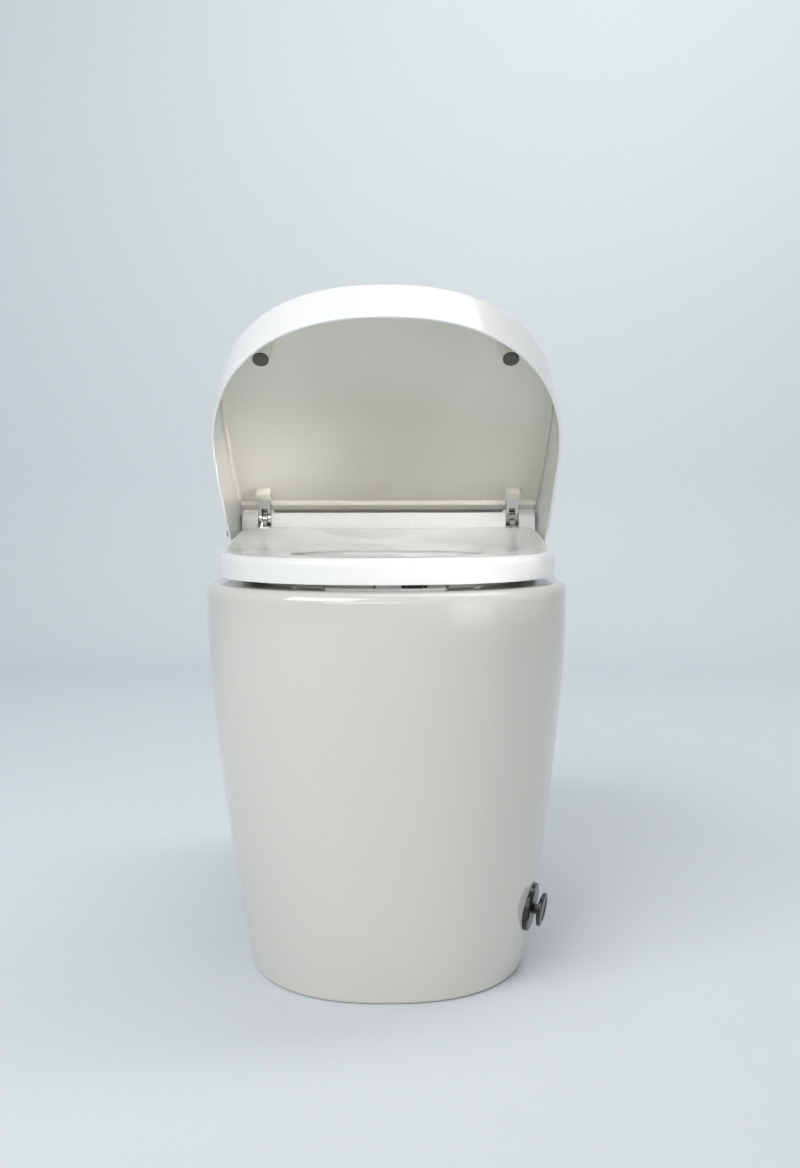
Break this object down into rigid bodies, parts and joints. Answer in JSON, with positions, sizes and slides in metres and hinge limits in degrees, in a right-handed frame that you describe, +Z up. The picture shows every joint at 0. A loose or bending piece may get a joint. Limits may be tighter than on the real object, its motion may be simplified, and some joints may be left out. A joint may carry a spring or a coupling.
{
  "type": "smart toilet",
  "caption": "One-piece floor-standing electronic toilet with a tapered skirt, driven domed lid, heated seat, wash wand, side knob and foot button.",
  "frame": {"origin": "centre of the bounding box on the floor", "axes": "+Z up, -Y the front, +Y the wall side, +X the viewer's right"},
  "size_m": [0.4051, 0.6, 0.7245],
  "materials": {
    "glazed_ceramic": "gloss white glaze",
    "white_plastic": "gloss white moulding",
    "chrome": "polished chrome",
    "steel": "plain steel",
    "brass": "turned brass",
    "grey_rubber": "matte dark grey rubber",
    "white_rubber": "matte white rubber",
    "black_plastic": "gloss black moulding",
    "grey_plastic": "matte grey moulding",
    "board": "green circuit board",
    "foil": "thin heating film"
  },
  "bodies": {
    "toilet": {"ceramic_body": "glazed_ceramic", "trapway_pipe": "grey_plastic", "outlet_seal": "grey_rubber", "floor_bracket_left": "steel", "floor_bracket_right": "steel", "chassis_tray": "grey_plastic", "rear_cover": "white_plastic", "hinge_block_left": "white_plastic", "hinge_block_right": "white_plastic", "hinge_damper_left": "grey_plastic", "hinge_damper_right": "grey_plastic", "lid_drive_motor": "grey_plastic", "seat_drive_motor": "grey_plastic", "lid_drive_belt": "grey_rubber", "seat_drive_belt": "grey_rubber", "wand_guide": "grey_plastic", "wand_stepper": "steel", "dryer_scroll": "grey_plastic", "dryer_motor": "steel", "deodoriser_frame": "black_plastic", "control_board": "board", "power_supply": "black_plastic", "power_inlet_gland": "black_plastic", "inlet_valve": "white_plastic", "flush_pump": "black_plastic", "water_heater_tank": "white_plastic", "water_inlet_nipple": "brass", "knob_bezel": "black_plastic", "foot_button_flange": "black_plastic", "foot_button_spring": "steel", "foot_switch": "grey_plastic"},
    "hinge_shaft": {"hinge_pin_left": "steel", "hinge_pin_right": "steel", "hinge_pulley_left": "grey_plastic", "hinge_pulley_right": "grey_plastic"},
    "lid": {"lid_shell": "white_plastic", "lid_inner_panel": "white_plastic", "lid_pad_left": "grey_rubber", "lid_pad_right": "grey_rubber", "lid_strap_left": "chrome", "lid_strap_right": "chrome"},
    "seat": {"seat_top_shell": "white_plastic", "seat_base": "white_plastic", "seat_heater": "foil", "seat_buffer_front_left": "white_rubber", "seat_buffer_front_right": "white_rubber", "seat_buffer_rear_left": "white_rubber", "seat_buffer_rear_right": "white_rubber", "seat_strap_left": "chrome", "seat_strap_right": "chrome"},
    "lid_pulley": {"lid_motor_pulley": "steel"},
    "seat_pulley": {"seat_motor_pulley": "steel"},
    "wand": {"wash_wand": "white_plastic", "wand_shield": "white_plastic"},
    "roller": {"wand_roller": "grey_rubber"},
    "impeller": {"dryer_impeller": "black_plastic"},
    "fan": {"deodoriser_fan": "grey_plastic"},
    "knob_push": {"knob_stem": "white_plastic"},
    "knob": {"knob_cap": "black_plastic"},
    "button": {"foot_button": "black_plastic"}
  },
  "joints": [
    {"name": "hinge_shaft_turn", "type": "hinge", "parent": "toilet", "child": "hinge_shaft", "pos_m": [0, 0.0675, 0.485], "axis": [-1, 0, 0], "range_deg": [0, 57.7]},
    {"name": "lid_hinge", "type": "hinge", "parent": "hinge_shaft", "child": "lid", "pos_m": [0, 0.0675, 0.485], "axis": [1, 0, 0], "range_deg": [-57.7, 42.3]},
    {"name": "seat_hinge", "type": "hinge", "parent": "hinge_shaft", "child": "seat", "pos_m": [0, 0.0675, 0.485], "axis": [1, 0, 0], "range_deg": [-38, 0]},
    {"name": "lid_pulley_spin", "type": "hinge", "parent": "toilet", "child": "lid_pulley", "pos_m": [0, 0.1015, 0.449], "axis": [-1, 0, 0], "range_deg": [0, 57.7]},
    {"name": "seat_pulley_spin", "type": "hinge", "parent": "toilet", "child": "seat_pulley", "pos_m": [0, 0.1015, 0.449], "axis": [-1, 0, 0], "range_deg": [0, 57.7]},
    {"name": "wand_slide", "type": "slide", "parent": "toilet", "child": "wand", "axis": [0, -0.9272, -0.3746], "range_m": [0, 0.1]},
    {"name": "wand_roller_spin", "type": "hinge", "parent": "toilet", "child": "roller", "pos_m": [0.0138, 0.11732, 0.43322], "axis": [0, -0.3746, 0.9272], "range_deg": [0, 960]},
    {"name": "dryer_spin", "type": "hinge", "parent": "toilet", "child": "impeller", "pos_m": [0.085, 0.192, 0.44], "axis": [0, 0, 1], "continuous": true},
    {"name": "deodoriser_spin", "type": "hinge", "parent": "toilet", "child": "fan", "pos_m": [-0.072, 0.122, 0.436], "axis": [0, 0, 1], "continuous": true},
    {"name": "knob_press", "type": "slide", "parent": "toilet", "child": "knob_push", "axis": [1, 0, 0], "range_m": [0, 0.002], "stiffness_N_per_m": 900, "springref_m": -0.002},
    {"name": "knob_turn", "type": "hinge", "parent": "knob_push", "child": "knob", "pos_m": [-0.19, 0.1, 0.47], "axis": [-1, 0, 0], "range_deg": [-60, 60]},
    {"name": "foot_button_press", "type": "slide", "parent": "toilet", "child": "button", "axis": [-0.9353, 0.319, 0.153], "range_m": [0, 0.005], "stiffness_N_per_m": 1200, "springref_m": -0.004, "deforming": ["foot_button_spring"]}
  ],
  "couplings": [
    {"joint": "lid_pulley_spin", "follows": "hinge_shaft_turn", "ratio": 1},
    {"joint": "seat_pulley_spin", "follows": "hinge_shaft_turn", "ratio": 1},
    {"joint": "wand_roller_spin", "follows": "wand_slide", "rad_per_m": 166.67}
  ]
}
